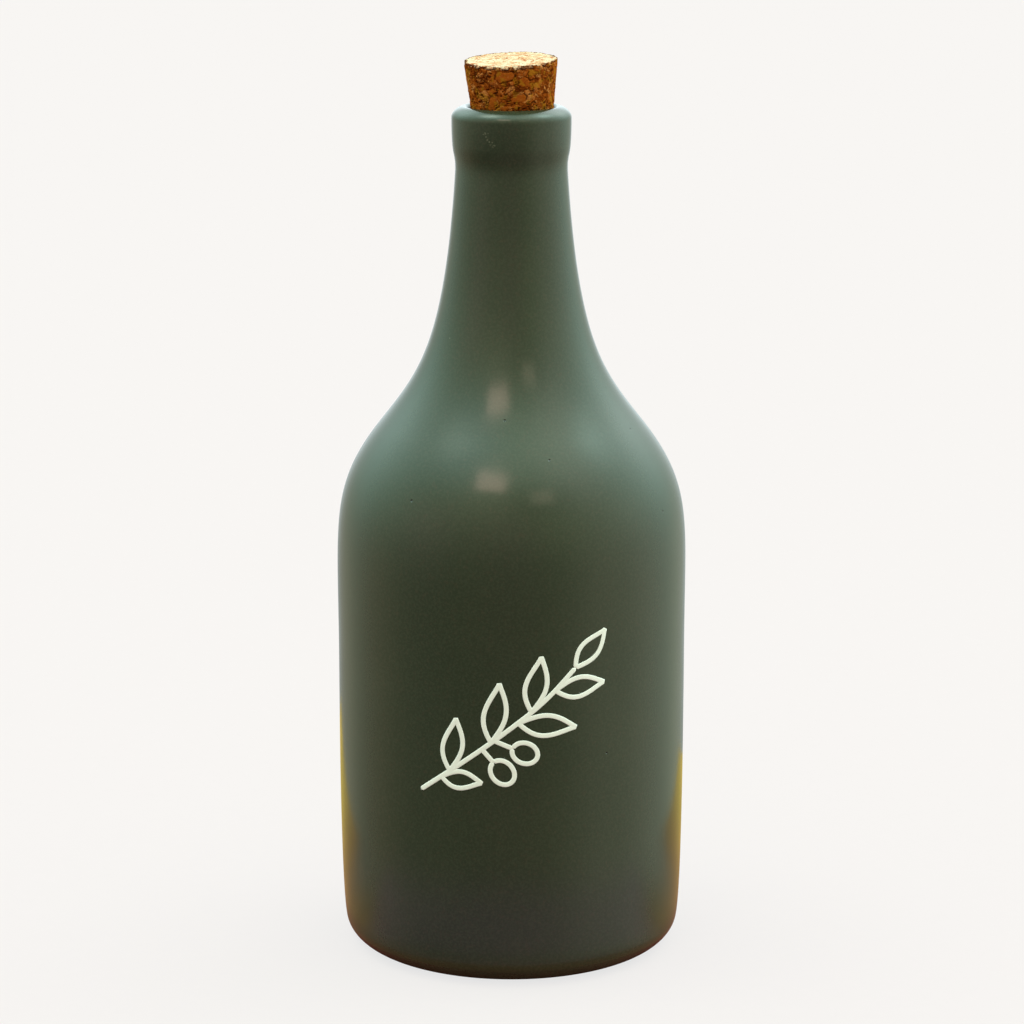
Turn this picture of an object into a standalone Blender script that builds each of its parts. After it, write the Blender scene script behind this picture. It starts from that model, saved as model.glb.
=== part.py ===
"""Oil cruet: a slip-cast stoneware bottle with a tapered agglomerated cork in its mouth.

Units are metres, +Z is up, the origin is the middle of the circle that the foot stands on, and the
front of the bottle faces -Y. Both pieces are turned shapes: a profile carried round an axis by a Screw
modifier. The bottle is opaque and stays shut, so it is one solid with a mouth just deep enough for the
cork, and the cork is a second solid that stands a little askew in it.
"""

import math
from collections import namedtuple

import bpy
from mathutils import Euler, Vector
from mathutils.geometry import interpolate_bezier

TURN_STEPS = 64
MERGE_DISTANCE = 0.00001
GAP = 0.0003

BOTTLE_HEIGHT = 0.1986
FOOT_RADIUS = 0.0340
FOOT_RING_WIDTH = 0.0050
RECESS_DEPTH = 0.0010
RECESS_SLOPE = 0.0010
MOUTH_CREST_RADIUS = 0.0109
MOUTH_EDGE_DROP = 0.0009

CORK_LENGTH = 0.0240
CORK_PROUD = 0.0107
CORK_TOP_RADIUS = 0.0108
CORK_BOTTOM_RADIUS = 0.0081
CORK_EDGE = 0.0003
CORK_ASIDE = 0.0002
CORK_LEAN_LEFT = math.radians(2.1)
CORK_LEAN_FORWARD = math.radians(4.0)

STONEWARE_COLOUR = (0.075, 0.105, 0.085, 1.0)
CORK_COLOUR = (0.42, 0.20, 0.07, 1.0)

# A station of the outline: radius, height, the wall's lean from upright in degrees (positive where it
# widens going up), and how far the curve keeps to that lean below and above the station.
Station = namedtuple("Station", "radius height lean below above")

FOOT = Station(FOOT_RADIUS, 0.0, 90.0, 0.0, 0.0006)
HEEL = Station(0.0395, 0.0053, 11.5, 0.0040, 0.0070)
WIDEST = Station(0.0408, 0.0688, 0.0, 0.0058, 0.0340)
SHOULDER = Station(0.0305, 0.1252, -38.2, 0.0198, 0.0153)
NECK = Station(0.0130, 0.1832, -3.9, 0.0392, 0.0038)
COLLAR = Station(0.0136, 0.1897, 4.0, 0.0025, 0.0022)
LIP = Station(0.0138, 0.1960, 0.0, 0.0023, 0.0014)
CREST = Station(MOUTH_CREST_RADIUS, BOTTLE_HEIGHT, -90.0, 0.0010, 0.0)

# The curved stretches between the stations, going up, and the straight steps that each is drawn in.
STRETCHES = [
    (FOOT, HEEL, 6),
    (HEEL, WIDEST, 5),
    (WIDEST, SHOULDER, 11),
    (SHOULDER, NECK, 11),
    (NECK, COLLAR, 5),
    (COLLAR, LIP, 3),
    (LIP, CREST, 5),
]


def clear_scene():
    for obj in list(bpy.data.objects):
        bpy.data.objects.remove(obj)


def new_collection(name):
    collection = bpy.data.collections.new(name)
    bpy.context.scene.collection.children.link(collection)
    return collection


def new_material(name, colour, roughness):
    material = bpy.data.materials.new(name)
    material.use_nodes = True
    shader = material.node_tree.nodes["Principled BSDF"]
    shader.inputs["Base Color"].default_value = colour
    shader.inputs["Roughness"].default_value = roughness
    shader.inputs["Metallic"].default_value = 0.0
    return material


def stretch_points(low, high, steps):
    """The points of the curve from one station up to the next, leaving out the upper one."""
    ends = []
    for station, reach in ((low, low.above), (high, -high.below)):
        lean = math.radians(station.lean)
        point = Vector((station.radius, station.height))
        ends.append((point, point + reach * Vector((math.sin(lean), math.cos(lean)))))
    (start, start_handle), (end, end_handle) = ends
    return interpolate_bezier(start, start_handle, end_handle, end, steps + 1)[:-1]


def outer_wall():
    """The outline from the crest of the lip down to the foot."""
    going_up = []
    for low, high, steps in STRETCHES:
        going_up.extend(stretch_points(low, high, steps))
    going_up.append(Vector((CREST.radius, CREST.height)))
    return [(point.x, point.y) for point in reversed(going_up)]


def cork_radius(depth):
    """The cork's radius at a depth below its top."""
    return CORK_TOP_RADIUS + (CORK_BOTTOM_RADIUS - CORK_TOP_RADIUS) * depth / CORK_LENGTH


def mouth_wall():
    """The blind mouth, from the middle of its floor to the lip. It clears the askew cork all round."""
    cork_in = CORK_LENGTH - CORK_PROUD
    askew = math.hypot(CORK_ASIDE + cork_in * math.sin(CORK_LEAN_LEFT), cork_in * math.sin(CORK_LEAN_FORWARD))
    floor_radius = CORK_BOTTOM_RADIUS + askew + GAP
    floor_height = BOTTLE_HEIGHT - cork_in - 2 * GAP - CORK_BOTTOM_RADIUS * math.sin(CORK_LEAN_FORWARD)
    edge_radius = cork_radius(CORK_PROUD) + CORK_ASIDE + GAP
    edge = [(0.0, floor_height), (floor_radius, floor_height), (edge_radius, BOTTLE_HEIGHT - MOUTH_EDGE_DROP)]
    slope = MOUTH_CREST_RADIUS - edge_radius
    for turn in (math.radians(30), math.radians(60)):
        radius = MOUTH_CREST_RADIUS - slope * math.cos(turn)
        edge.append((radius, BOTTLE_HEIGHT - MOUTH_EDGE_DROP * (1 - math.sin(turn))))
    return edge


def underside():
    """The flat foot ring and the shallow recess inside it, out to in."""
    inner = FOOT_RADIUS - FOOT_RING_WIDTH
    return [(inner, 0.0), (inner - RECESS_SLOPE, RECESS_DEPTH), (0.0, RECESS_DEPTH)]


def turned(name, profile, collection, material):
    """A solid of revolution: the profile carried once round Z."""
    mesh = bpy.data.meshes.new(name)
    points = [(radius, 0.0, height) for radius, height in profile]
    edges = [(i, i + 1) for i in range(len(points) - 1)]
    mesh.from_pydata(points, edges, [])
    mesh.materials.append(material)
    obj = bpy.data.objects.new(name, mesh)
    collection.objects.link(obj)
    screw = obj.modifiers.new("turn", "SCREW")
    screw.axis = "Z"
    screw.angle = math.tau
    screw.steps = TURN_STEPS
    screw.render_steps = TURN_STEPS
    screw.use_merge_vertices = True
    screw.merge_threshold = MERGE_DISTANCE
    screw.use_smooth_shade = True
    return obj


def build_bottle(collection):
    glaze = new_material("glaze", STONEWARE_COLOUR, 0.42)
    profile = mouth_wall() + outer_wall() + underside()
    return turned("bottle", profile, collection, glaze)


def build_cork(collection):
    """The cork turns about its own axis, with its local origin where that axis crosses the lip's plane."""
    cork = new_material("cork", CORK_COLOUR, 0.85)
    top = CORK_PROUD
    bottom = CORK_PROUD - CORK_LENGTH
    profile = [
        (0.0, top),
        (CORK_TOP_RADIUS - CORK_EDGE, top),
        (cork_radius(CORK_EDGE), top - CORK_EDGE),
        (cork_radius(CORK_PROUD), 0.0),
        (cork_radius(CORK_LENGTH - CORK_EDGE), bottom + CORK_EDGE),
        (CORK_BOTTOM_RADIUS - CORK_EDGE, bottom),
        (0.0, bottom),
    ]
    obj = turned("cork", profile, collection, cork)
    obj.location = (CORK_ASIDE, 0.0, BOTTLE_HEIGHT)
    obj.rotation_euler = Euler((CORK_LEAN_FORWARD, -CORK_LEAN_LEFT, 0.0))
    return obj


def main():
    clear_scene()
    collection = new_collection("oil_cruet")
    build_bottle(collection)
    build_cork(collection)


main()
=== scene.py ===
# %% [markdown]
# # A stoneware oil cruet with a cork
#
# This lesson dresses a plain working model of an oil bottle. The working model is two solids, `bottle`
# and `cork`, and it is loaded first as a fixed frame. Each new piece then takes the place of one solid,
# at the same place and size, with the surface that the real thing has: a satin grey-green glaze with a
# few pinholes, a white line drawing fired onto it, and a stopper of pressed cork granules.

# %% Load the frame
import math
from collections import namedtuple

import bpy
import numpy as np
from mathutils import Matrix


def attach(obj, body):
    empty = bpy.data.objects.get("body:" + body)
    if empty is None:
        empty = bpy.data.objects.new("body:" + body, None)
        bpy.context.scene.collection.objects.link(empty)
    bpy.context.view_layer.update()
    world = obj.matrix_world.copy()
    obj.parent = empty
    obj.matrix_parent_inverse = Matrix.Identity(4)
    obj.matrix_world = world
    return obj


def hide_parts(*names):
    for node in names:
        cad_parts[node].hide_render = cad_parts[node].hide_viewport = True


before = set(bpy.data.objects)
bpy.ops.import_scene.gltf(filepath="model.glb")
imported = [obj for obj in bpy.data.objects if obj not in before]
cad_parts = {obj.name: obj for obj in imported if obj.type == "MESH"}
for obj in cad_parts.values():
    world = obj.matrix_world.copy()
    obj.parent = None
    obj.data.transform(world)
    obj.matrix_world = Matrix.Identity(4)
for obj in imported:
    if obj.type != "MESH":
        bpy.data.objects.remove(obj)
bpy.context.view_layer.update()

MM = 0.001

# %% [markdown]
# ## The camera
#
# The bottle is seen from the front and a little above. A long lens, far back, keeps the neck and the
# foot nearly the same scale. The camera is placed by its distance, its height, the angle that it looks
# down and its focal length, so it needs no shift.

# %% Camera
CAMERA_BACK = 824.8 * MM
CAMERA_HEIGHT = 289.1 * MM
CAMERA_ASIDE = 0.12 * MM
CAMERA_DOWN = math.radians(12.695)
CAMERA_LENS_MM = 126.67
SENSOR_WIDTH_MM = 36.0

lens = bpy.data.cameras.new("camera")
lens.lens = CAMERA_LENS_MM
lens.sensor_width = SENSOR_WIDTH_MM
camera = bpy.data.objects.new("camera", lens)
camera.location = (CAMERA_ASIDE, -CAMERA_BACK, CAMERA_HEIGHT)
camera.rotation_euler = (math.pi / 2 - CAMERA_DOWN, 0.0, 0.0)
bpy.context.scene.collection.objects.link(camera)
bpy.context.scene.camera = camera
print("camera sees", round(math.degrees(lens.angle), 1), "degrees")

# %% [markdown]
# ## Helpers for surfaces
#
# Every piece here is a closed surface on a grid of rows and columns. Both things are turned shapes at
# heart, so a column is an angle round the axis and a row is a place along the profile. Computing the
# whole grid with numpy keeps each shape a formula, and the mesh is filled in one go. A row at each end
# is closed to a single point, a pole, so that the piece is watertight.

# %% Grid to mesh
def grid_faces(rows, columns):
    """Quads between neighbouring rows, with the last column joined to the first."""
    row, column = np.meshgrid(np.arange(rows - 1), np.arange(columns), indexing="ij")
    beside = (column + 1) % columns
    corners = [row * columns + column, row * columns + beside,
               (row + 1) * columns + beside, (row + 1) * columns + column]
    return np.stack(corners, axis=-1).reshape(-1, 4)


def pole_faces(ring, pole, outwards):
    """A fan of triangles from a ring of indices to its pole."""
    fan = np.stack([ring, np.roll(ring, -1), np.full_like(ring, pole)], axis=-1)
    return fan if outwards else fan[:, ::-1]


def closed_piece(grid, start, end):
    """Points and faces of a tube-like grid (rows, columns, 3) closed by a pole at each end."""
    rows, columns = grid.shape[:2]
    points = np.concatenate([grid.reshape(-1, 3), [start, end]])
    ring = np.arange(columns)
    quads = grid_faces(rows, columns)
    fans = np.concatenate([
        pole_faces(ring, rows * columns, False),
        pole_faces((rows - 1) * columns + ring, rows * columns + 1, True),
    ])
    return points, quads, fans


def inside_out(points, quads, fans):
    """True if the signed volume, summed over the faces as triangles, is negative."""
    triangles = np.concatenate([quads[:, [0, 1, 2]], quads[:, [0, 2, 3]], fans])
    a, b, c = (points[triangles[:, i]] for i in range(3))
    return np.einsum("ij,ij->i", a, np.cross(b, c)).sum() < 0


def new_mesh_object(name, points, quads, fans, material):
    """One smooth-shaded object at the origin, with its faces turned outwards."""
    if inside_out(points, quads, fans):
        quads, fans = quads[:, ::-1], fans[:, ::-1]
    mesh = bpy.data.meshes.new(name)
    mesh.from_pydata(points.tolist(), [], quads.tolist() + fans.tolist())
    mesh.shade_smooth()
    mesh.materials.append(material)
    obj = bpy.data.objects.new(name, mesh)
    bpy.context.scene.collection.objects.link(obj)
    print(name, "has", 2 * len(quads) + len(fans), "triangles")
    return obj


def store(obj, name, values):
    """Keeps one number for each point of the mesh, for the material to read."""
    attribute = obj.data.attributes.new(name, "FLOAT", "POINT")
    attribute.data.foreach_set("value", np.asarray(values, np.float32))

# %% [markdown]
# ## Helper for patterns: cells
#
# Pressed cork is granules of uneven size, and their outlines are what a cell pattern draws: scatter one
# point in each cube of a grid, and give every place to its nearest point. The difference between the
# second nearest distance and the nearest is zero on an outline and grows towards the middle of a cell.

# %% Cells
HASH_SLOPES = np.array([127.1, 311.7, 74.7])
HASH_SALT = 19.19
HASH_STRETCH = 43758.5453


def hashed(cells, salt):
    """A repeatable number from 0 to 1 for each whole-numbered cell: the fraction of a large sine."""
    dots = cells @ HASH_SLOPES + salt * HASH_SALT
    return np.mod(np.sin(dots) * HASH_STRETCH, 1.0)


def triples(values):
    """Every triple of the values, one to a row."""
    return np.stack(np.meshgrid(values, values, values, indexing="ij"), -1).reshape(-1, 3)


def cell_pattern(places, size, salt):
    """How much further than the nearest point the second nearest is, and a number for the cell."""
    scaled = places / size
    home = np.floor(scaled)
    nearest = np.full(len(places), np.inf)
    second = nearest.copy()
    number = np.zeros(len(places))
    for step in triples([-1, 0, 1]):
        cell = home + step
        jitter = np.stack([hashed(cell, salt + k) for k in range(3)], axis=-1)
        distance = np.linalg.norm(cell + jitter - scaled, axis=1)
        closer = distance < nearest
        second = np.where(closer, nearest, np.minimum(second, distance))
        number = np.where(closer, hashed(cell, salt + 7), number)
        nearest = np.where(closer, distance, nearest)
    return (second - nearest) * size, number


def smooth_noise(places, size, salt):
    """Value noise from -1 to 1: random numbers at grid corners, blended by 6t^5 - 15t^4 + 10t^3."""
    scaled = places / size
    home = np.floor(scaled)
    part = scaled - home
    blend = part ** 3 * (part * (part * 6 - 15) + 10)
    total = np.zeros(len(places))
    for corner in triples([0, 1]):
        weight = np.prod(np.where(corner == 1, blend, 1 - blend), axis=1)
        total += weight * hashed(home + corner, salt)
    return 2 * total - 1


def wobble(places, reach, size, salt):
    """A push of up to reach along each axis, from three noises of one size."""
    return reach * np.stack([smooth_noise(places, size, salt + k) for k in range(3)], -1)


def eased(values, low, high):
    """A smooth step from 0 at low to 1 at high."""
    t = np.clip((values - low) / (high - low), 0, 1)
    return t * t * (3 - 2 * t)

# %% [markdown]
# ## Helpers for materials
#
# Materials are small networks of nodes that end in a Principled shader. A few short helpers keep them
# readable: each adds one kind of node, joins its inputs and gives back its output. Patterns read Object
# coordinates, which are metres on these unturned, unscaled pieces, so a scale of 1000 counts in
# millimetres.

# %% Nodes
WHITE = (1.0, 1.0, 1.0, 1.0)


def feed(tree, socket, value):
    """Joins another node's output to a socket, or sets the socket to a plain value."""
    if isinstance(value, bpy.types.NodeSocket):
        tree.links.new(value, socket)
    else:
        socket.default_value = value


def add_node(tree, kind, inputs=None, **settings):
    """Adds one node, makes its settings and feeds its inputs, by name or by number."""
    node = tree.nodes.new(kind)
    for key, value in settings.items():
        setattr(node, key, value)
    for key, value in (inputs or {}).items():
        feed(tree, node.inputs[key], value)
    return node


class Network:
    """A material and the few kinds of node that this lesson uses."""

    def __init__(self, name):
        self.material = bpy.data.materials.new(name)
        self.material.use_nodes = True
        self.tree = self.material.node_tree
        self.place = self.add("ShaderNodeTexCoord").outputs["Object"]

    def add(self, kind, inputs=None, **settings):
        """One node in this material."""
        return add_node(self.tree, kind, inputs, **settings)

    def math(self, operation, a, b):
        """One sum on two numbers, such as ADD or MAXIMUM."""
        return self.add("ShaderNodeMath", {0: a, 1: b}, operation=operation).outputs[0]

    def times(self, a, b):
        """One number times another."""
        return self.math("MULTIPLY", a, b)

    def ramp(self, value, low, high, to_low=0.0, to_high=1.0):
        """Carries low..high of value smoothly to to_low..to_high."""
        ends = {"Value": value, "From Min": low, "From Max": high, "To Min": to_low, "To Max": to_high}
        return self.add("ShaderNodeMapRange", ends, interpolation_type="SMOOTHSTEP").outputs["Result"]

    def noise(self, size_mm, detail=2.0, roughness=0.5, place=None):
        """Cloudy noise from 0 to 1 whose blobs are about size_mm across."""
        node = self.add("ShaderNodeTexNoise", {"Vector": place or self.place, "Scale": 1000.0 / size_mm,
                                               "Detail": detail, "Roughness": roughness})
        return node.outputs["Fac"]

    def mix(self, factor, a, b):
        """Colour a where factor is 0, and b where it is 1."""
        return self.add("ShaderNodeMix", {0: factor, 6: a, 7: b}, data_type="RGBA").outputs[2]

    def layers(self, colour, *layers):
        """Mixes each layer, an amount and a colour, over what is below it."""
        for amount, over in layers:
            colour = self.mix(amount, colour, over)
        return colour

    def stored(self, name):
        """The number that store() kept on the mesh under this name."""
        return self.add("ShaderNodeAttribute", attribute_name=name).outputs["Fac"]

    def bump(self, height, distance):
        """Shades the surface as if it rose by height times distance, in metres."""
        return self.add("ShaderNodeBump", {"Height": height, "Distance": distance}).outputs["Normal"]

    def finished(self, inputs):
        """Feeds the Principled shader's sockets by name, and gives back the material."""
        shader = self.tree.nodes["Principled BSDF"]
        for name, value in inputs.items():
            feed(self.tree, shader.inputs[name], value)
        return self.material

# %% [markdown]
# ## The bottle's outline
#
# A potter's bottle is one flowing line turned round an axis. The line is drawn through a few stations,
# each with a radius, a height and the lean of the wall there, and a cubic curve joins each to the next.
# These are the same stations as in the working model, so the fine surface lies on the plain one.

# %% Outline
Station = namedtuple("Station", "radius height lean below above")

FOOT = Station(34.0, 0.0, 90.0, 0.0, 0.6)
HEEL = Station(39.5, 5.3, 11.5, 4.0, 7.0)
WIDEST = Station(40.8, 68.8, 0.0, 5.8, 34.0)
SHOULDER = Station(30.5, 125.2, -38.2, 19.8, 15.3)
NECK = Station(13.0, 183.2, -3.9, 39.2, 3.8)
COLLAR = Station(13.6, 189.7, 4.0, 2.5, 2.2)
LIP = Station(13.8, 196.0, 0.0, 2.3, 1.4)
CREST = Station(10.9, 198.6, -90.0, 1.0, 0.0)
STATIONS = [FOOT, HEEL, WIDEST, SHOULDER, NECK, COLLAR, LIP, CREST]

MOUTH_EDGE_DROP = 0.9
MOUTH_RADIUS = 9.95
MOUTH_FLOOR_RADIUS = 9.6
MOUTH_FLOOR = 184.0
RING_WIDTH = 5.0
RING_EDGE = 1.2
RECESS = 1.0
RECESS_MIDDLE = 8.0
CURVE_STEPS = 200


def stretch(low, high, count):
    """A cubic curve from one station to the next, whose handles keep to the wall's lean at each end."""
    t = np.linspace(0.0, 1.0, count)[:, None]
    ends = []
    for station, reach in ((low, low.above), (high, -high.below)):
        lean = math.radians(station.lean)
        point = np.array([station.radius, station.height])
        ends.append((point, point + reach * np.array([math.sin(lean), math.cos(lean)])))
    (p0, p1), (p3, p2) = ends
    return (1 - t) ** 3 * p0 + 3 * (1 - t) ** 2 * t * p1 + 3 * (1 - t) * t * t * p2 + t ** 3 * p3


def evenly(points, count):
    """The same line with count points at equal steps of its length."""
    length = np.concatenate([[0.0], np.cumsum(np.linalg.norm(np.diff(points, axis=0), axis=1))])
    even = np.linspace(0.0, length[-1], count)
    return np.stack([np.interp(even, length, points[:, k]) for k in range(2)], axis=-1)


OUTSIDE = np.concatenate([stretch(a, b, CURVE_STEPS)[:-1] for a, b in zip(STATIONS, STATIONS[1:])]
                         + [[[CREST.radius, CREST.height]]])


def wall_radius(height_mm):
    """The outside radius at a height, in millimetres."""
    return np.interp(height_mm, OUTSIDE[:, 1], OUTSIDE[:, 0])


print("outline is", round(float(np.linalg.norm(np.diff(OUTSIDE, axis=0), axis=1).sum())), "mm long")

# %% [markdown]
# ## The glazed body
#
# The body could be a Screw modifier on the outline, as the working model is. A grid is used instead,
# because it lets the wall keep the small unevenness of a cast and hand-sponged pot. A slow wander of a
# few hundredths of a millimetre makes reflections swim a little instead of running dead straight, and a
# shallow hollow, a third of a millimetre deep, is where a thumb pressed the front of the shoulder.

# %% Bottle surface
BODY_COLUMNS = 440
BORE_ROWS = 2
EDGE_ROWS = 6
LIP_ROWS = 34
WALL_ROWS = 142
HEEL_ROWS = 18
WANDER = 0.05
LONG_WANDER = 38.0 * MM
SHORT_WANDER = 17.0 * MM
# The wander grows over the heel and dies out over the lip, between these heights in mm.
WANDER_HEIGHTS = (6.0, 16.0, 193.0, 197.0)
HOLLOW = 0.33
HOLLOW_HEIGHT = 126.0
HOLLOW_REACH = 8.0


def bottle_profile():
    """The line from the mouth's floor, up the bore, over the lip, down the wall and under the foot."""
    bore = np.array([[MOUTH_FLOOR_RADIUS, MOUTH_FLOOR], [MOUTH_RADIUS, CREST.height - MOUTH_EDGE_DROP]])
    turn = np.linspace(0.0, math.pi / 2, EDGE_ROWS + 2)[1:-1, None]
    width = CREST.radius - MOUTH_RADIUS
    edge = np.hstack([CREST.radius - width * np.cos(turn),
                      CREST.height - MOUTH_EDGE_DROP * (1 - np.sin(turn))])
    ring = FOOT.radius - RING_WIDTH
    under = np.array([[FOOT.radius - RING_EDGE, 0.0], [ring, 0.0], [ring - RECESS, RECESS],
                      [RECESS_MIDDLE, RECESS]])
    height = OUTSIDE[:, 1]
    lip = evenly(OUTSIDE[height > COLLAR.height], LIP_ROWS)
    wall = evenly(OUTSIDE[(height > HEEL.height) & (height <= COLLAR.height)], WALL_ROWS)
    heel = evenly(OUTSIDE[height <= HEEL.height], HEEL_ROWS)
    return np.concatenate([bore, edge, lip[::-1], wall[::-1], heel[::-1], under])


def turned_grid(profile_mm, columns):
    """Rows of a profile (radius, height) carried round Z, in metres."""
    angle = np.linspace(0.0, math.tau, columns, endpoint=False)
    radius, height = profile_mm[:, :1], profile_mm[:, 1:]
    ring = np.stack([np.sin(angle), -np.cos(angle)], axis=-1)
    xy = radius[:, :, None] * ring[None]
    z = np.broadcast_to(height, (len(profile_mm), columns))[..., None]
    return np.concatenate([xy, z], axis=-1) * MM


def away_from_axis(points):
    """The level direction from the Z axis to each point, of length 1."""
    level = points * [1, 1, 0]
    return level / np.linalg.norm(level, axis=1, keepdims=True)


def build_bottle(material):
    """The turned profile, pushed along its radius by the wander, less a bell-shaped hollow in front."""
    profile = bottle_profile()
    grid = turned_grid(profile, BODY_COLUMNS)
    flat = grid.reshape(-1, 3)
    height = flat[:, 2] / MM
    outwards = away_from_axis(flat)
    wander = smooth_noise(flat, LONG_WANDER, 3) + 0.5 * smooth_noise(flat, SHORT_WANDER, 5)
    wander *= np.interp(height, WANDER_HEIGHTS, (0, 1, 1, 0))
    facing = np.clip(-outwards[:, 1], 0, 1) ** 2
    hollow = np.exp(-((height - HOLLOW_HEIGHT) / HOLLOW_REACH) ** 2) * facing
    outside = np.repeat(np.arange(len(profile)) > BORE_ROWS + EDGE_ROWS, BODY_COLUMNS)
    push = (WANDER * wander - HOLLOW * hollow) * MM * outside
    grid = (flat + outwards * push[:, None]).reshape(grid.shape)
    start = (0.0, 0.0, profile[0, 1] * MM)
    end = (0.0, 0.0, profile[-1, 1] * MM)
    return new_mesh_object("glazed_bottle", *closed_piece(grid, start, end), material)

# %% [markdown]
# ## The glaze
#
# The glaze is a satin one: coloured all through, so its base colour is a dark grey-green, with a soft
# sheen that blurs a lamp to a patch about 5 mm wide. Three things keep it from looking like plastic: a
# cloudy drift in tone where it pooled thicker or thinner, fine speckle, and a few pinholes where gas
# left the glaze in the kiln. The flat ring under the foot is wiped bare before firing, so it shows the
# buff clay.

# %% Glaze
GLAZE_THIN = (0.0266, 0.0352, 0.0200, 1.0)
GLAZE_THICK = (0.0226, 0.0322, 0.0180, 1.0)
PALE_SPECK = (0.060, 0.070, 0.045, 1.0)
RUST_SPECK = (0.080, 0.044, 0.028, 1.0)
# The pinholes' near black is painted shade inside them.
PIT_SHADE = (0.006, 0.007, 0.006, 1.0)
SCUFF_COLOUR = (0.14, 0.14, 0.10, 1.0)
BARE_CLAY = (0.42, 0.33, 0.22, 1.0)
# The sizes of the clouds, specks, sheen patches and skin, then the roughness and the relief.
CLOUD_MM = 26.0
PALE_SPECK_MM = 0.55
RUST_SPECK_MM = 0.8
SCUFF_GRAIN_MM = 0.4
SHEEN_MM = 9.0
SKIN_MM = 2.4
ROUGH_LOW = 0.165
ROUGH_HIGH = 0.205
SKIN_RELIEF = 0.012 * MM
PIT_RELIEF = -12.0
BARE_BELOW = 0.12 * MM

# Pinholes as (degrees round from the front, height in mm, radius in mm).
PITS = [(-3.3, 130.5, 0.42), (15.3, 122.4, 0.42), (-36.3, 112.8, 0.38), (65.5, 125.7, 0.30),
        (61.2, 107.8, 0.34), (32.2, 54.7, 0.30), (118.0, 96.0, 0.38), (154.0, 131.0, 0.34),
        (-141.0, 74.0, 0.40), (-97.0, 118.0, 0.32), (-168.0, 150.0, 0.30), (97.0, 32.0, 0.34)]
# A faint scuff on the collar, as a run of small pale flecks, and two pale specks on the shoulder.
SCUFFS = [(-27.4, 193.5, 0.30), (-25.6, 193.7, 0.38), (-24.6, 192.9, 0.30), (-22.6, 193.8, 0.26),
          (-23.2, 192.2, 0.34), (-21.4, 191.8, 0.30), (-20.4, 191.3, 0.36), (-18.6, 191.7, 0.26),
          (-17.9, 190.9, 0.42), (-16.2, 191.0, 0.28), (-50.5, 146.7, 0.24), (23.0, 139.4, 0.22)]


def on_wall(degrees, height_mm):
    """The point of the outside wall at an angle round from the front and a height, in metres."""
    radius = float(wall_radius(height_mm))
    angle = math.radians(degrees)
    return (radius * math.sin(angle) * MM, -radius * math.cos(angle) * MM, height_mm * MM)


def spots(net, marks):
    """One at the middle of a mark, falling to zero at its radius: the largest over all the marks."""
    total = 0.0
    for degrees, height, radius in marks:
        away = net.add("ShaderNodeVectorMath", {0: net.place, 1: on_wall(degrees, height)},
                       operation="DISTANCE").outputs["Value"]
        total = net.math("MAXIMUM", net.ramp(away, 0.35 * radius * MM, radius * MM, 1.0, 0.0), total)
    return total


def glaze_material():
    """Thick and thin glaze in clouds, with specks, pits, the scuff and the bare ring laid over them."""
    net = Network("satin glaze")
    height = net.add("ShaderNodeSeparateXYZ", {0: net.place}).outputs["Z"]
    bare = net.ramp(height, BARE_BELOW, 0.0)
    pits = spots(net, PITS)
    grain = net.ramp(net.noise(SCUFF_GRAIN_MM), 0.38, 0.6, 0.0, 0.7)
    colour = net.layers(
        GLAZE_THICK,
        (net.ramp(net.noise(CLOUD_MM, 3.0), 0.35, 0.65), GLAZE_THIN),
        (net.ramp(net.noise(PALE_SPECK_MM, 2.0, 0.7), 0.42, 0.62, 0.0, 0.20), PALE_SPECK),
        (net.ramp(net.noise(RUST_SPECK_MM, 2.0, 0.7), 0.52, 0.68, 0.0, 0.14), RUST_SPECK),
        (pits, PIT_SHADE),
        (net.times(spots(net, SCUFFS), grain), SCUFF_COLOUR),
        (bare, BARE_CLAY),
    )
    sheen = net.ramp(net.noise(SHEEN_MM), 0.3, 0.7, ROUGH_LOW, ROUGH_HIGH)
    skin = net.math("ADD", net.times(net.noise(SKIN_MM, 1.0), 0.5), net.times(pits, PIT_RELIEF))
    return net.finished({
        "Base Color": colour,
        "Roughness": net.math("ADD", sheen, net.times(bare, 0.5)),
        "Normal": net.bump(skin, SKIN_RELIEF),
    })


bottle = build_bottle(glaze_material())
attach(bottle, "root")
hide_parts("bottle")

# %% [markdown]
# ## The cork's outline
#
# The stopper is cork waste pressed with glue, then turned to a taper. It could be a smooth cone with a
# bump map, but its grain is coarse, 1 to 3 mm, and it shows in the outline, so it is modelled. The cone
# starts as a grid whose rows are close together where it stands out of the mouth, and far apart below.

# %% Cork outline
CORK_LENGTH = 24.0
CORK_PROUD = 10.7
CORK_TOP_RADIUS = 10.8
CORK_BOTTOM_RADIUS = 8.1
CORK_RIM_ROUND = 0.25
CORK_FOOT_ROUND = 0.2
CORK_COLUMNS = 520
# The radii in mm at which the bottom's first row and the top's last row close to a point.
UNDER_FROM = 1.0
TOP_TO = 0.5
# How far inside the mouth, in mm, the coarse rows end and the fine rows start, and how many of each.
COARSE_TO = 0.8
FINE_FROM = 0.6
COARSE_ROWS = 14
FINE_ROWS = 94
UNDER_ROWS = 7
RIM_ROWS = 3
TOP_ROWS = 62


def level_rows(start, end, count, height):
    """Rows of a flat disc, (radius, height), from one radius to another."""
    return np.stack([np.linspace(start, end, count), np.full(count, height)], axis=-1)


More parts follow.
